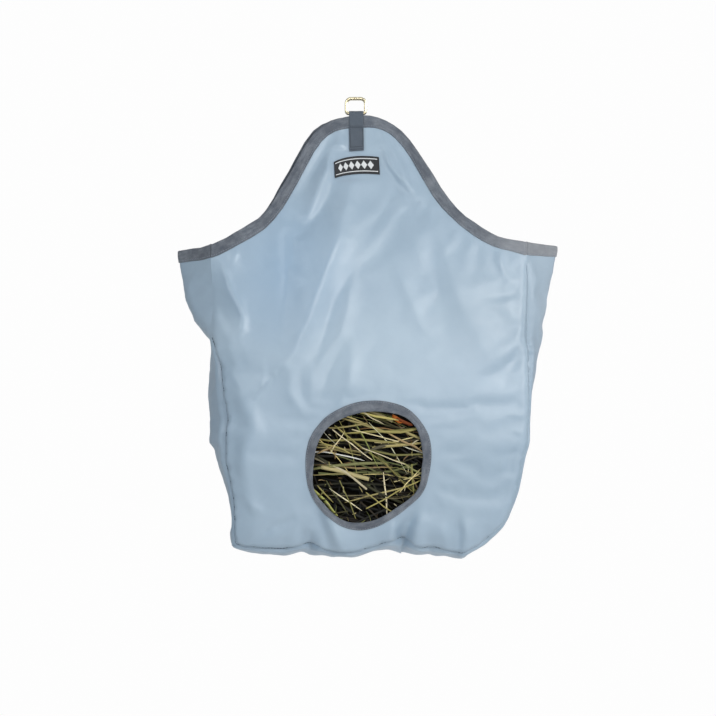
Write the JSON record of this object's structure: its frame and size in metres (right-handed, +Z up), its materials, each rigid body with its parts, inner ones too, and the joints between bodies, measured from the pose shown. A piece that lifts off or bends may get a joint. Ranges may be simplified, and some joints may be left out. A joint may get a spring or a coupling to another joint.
{
  "type": "hay bag",
  "caption": "Peaked cloth hay bag with a round bound feed hole low in its front, bound mouth, and a ring on a webbing tab at each peak to hang it up.",
  "frame": {"origin": "hang point: the inside top of the two rings where a hook holds the bag, midway between them", "axes": "+Z up, the front panel with the feed hole faces -Y, +X to the right seen from the front"},
  "size_m": [0.5325, 0.1619, 0.6503],
  "materials": {
    "nylon": "satin",
    "binding_tape": "matte",
    "webbing": "matte",
    "label": "matte",
    "hay": "matte",
    "ring_brass": "polished",
    "thread": "matte"
  },
  "bodies": {
    "bag": {"front_panel": "nylon", "back_panel": "nylon", "left_gusset": "nylon", "right_gusset": "nylon", "base_gusset": "nylon", "feed_hole_binding": "binding_tape", "left_mouth_binding": "binding_tape", "right_mouth_binding": "binding_tape", "front_seam_binding": "binding_tape", "back_seam_binding": "binding_tape", "hay_fill": "hay"},
    "front_peak": {"front_peak_panel": "nylon", "front_neck_binding": "binding_tape", "front_ring_tab": "webbing", "woven_label": "label"},
    "front_ring": {"front_d_ring": "ring_brass"},
    "back_peak": {"back_peak_panel": "nylon", "back_neck_binding": "binding_tape", "back_ring_tab": "webbing"},
    "back_ring": {"back_d_ring": "ring_brass"}
  },
  "joints": [
    {"name": "front_mouth", "type": "hinge", "parent": "bag", "child": "front_peak", "pos_m": [0, -0.0565, -0.206], "axis": [1, 0, 0], "range_deg": [0, 70]},
    {"name": "back_mouth", "type": "hinge", "parent": "bag", "child": "back_peak", "pos_m": [0, 0.0565, -0.206], "axis": [-1, 0, 0], "range_deg": [0, 70]},
    {"name": "front_ring_swing", "type": "hinge", "parent": "front_peak", "child": "front_ring", "pos_m": [0, -0.00498, -0.0186], "axis": [1, 0, 0], "range_deg": [-5, 110]},
    {"name": "back_ring_swing", "type": "hinge", "parent": "back_peak", "child": "back_ring", "pos_m": [0, 0.00498, -0.0186], "axis": [-1, 0, 0], "range_deg": [-5, 110]}
  ]
}
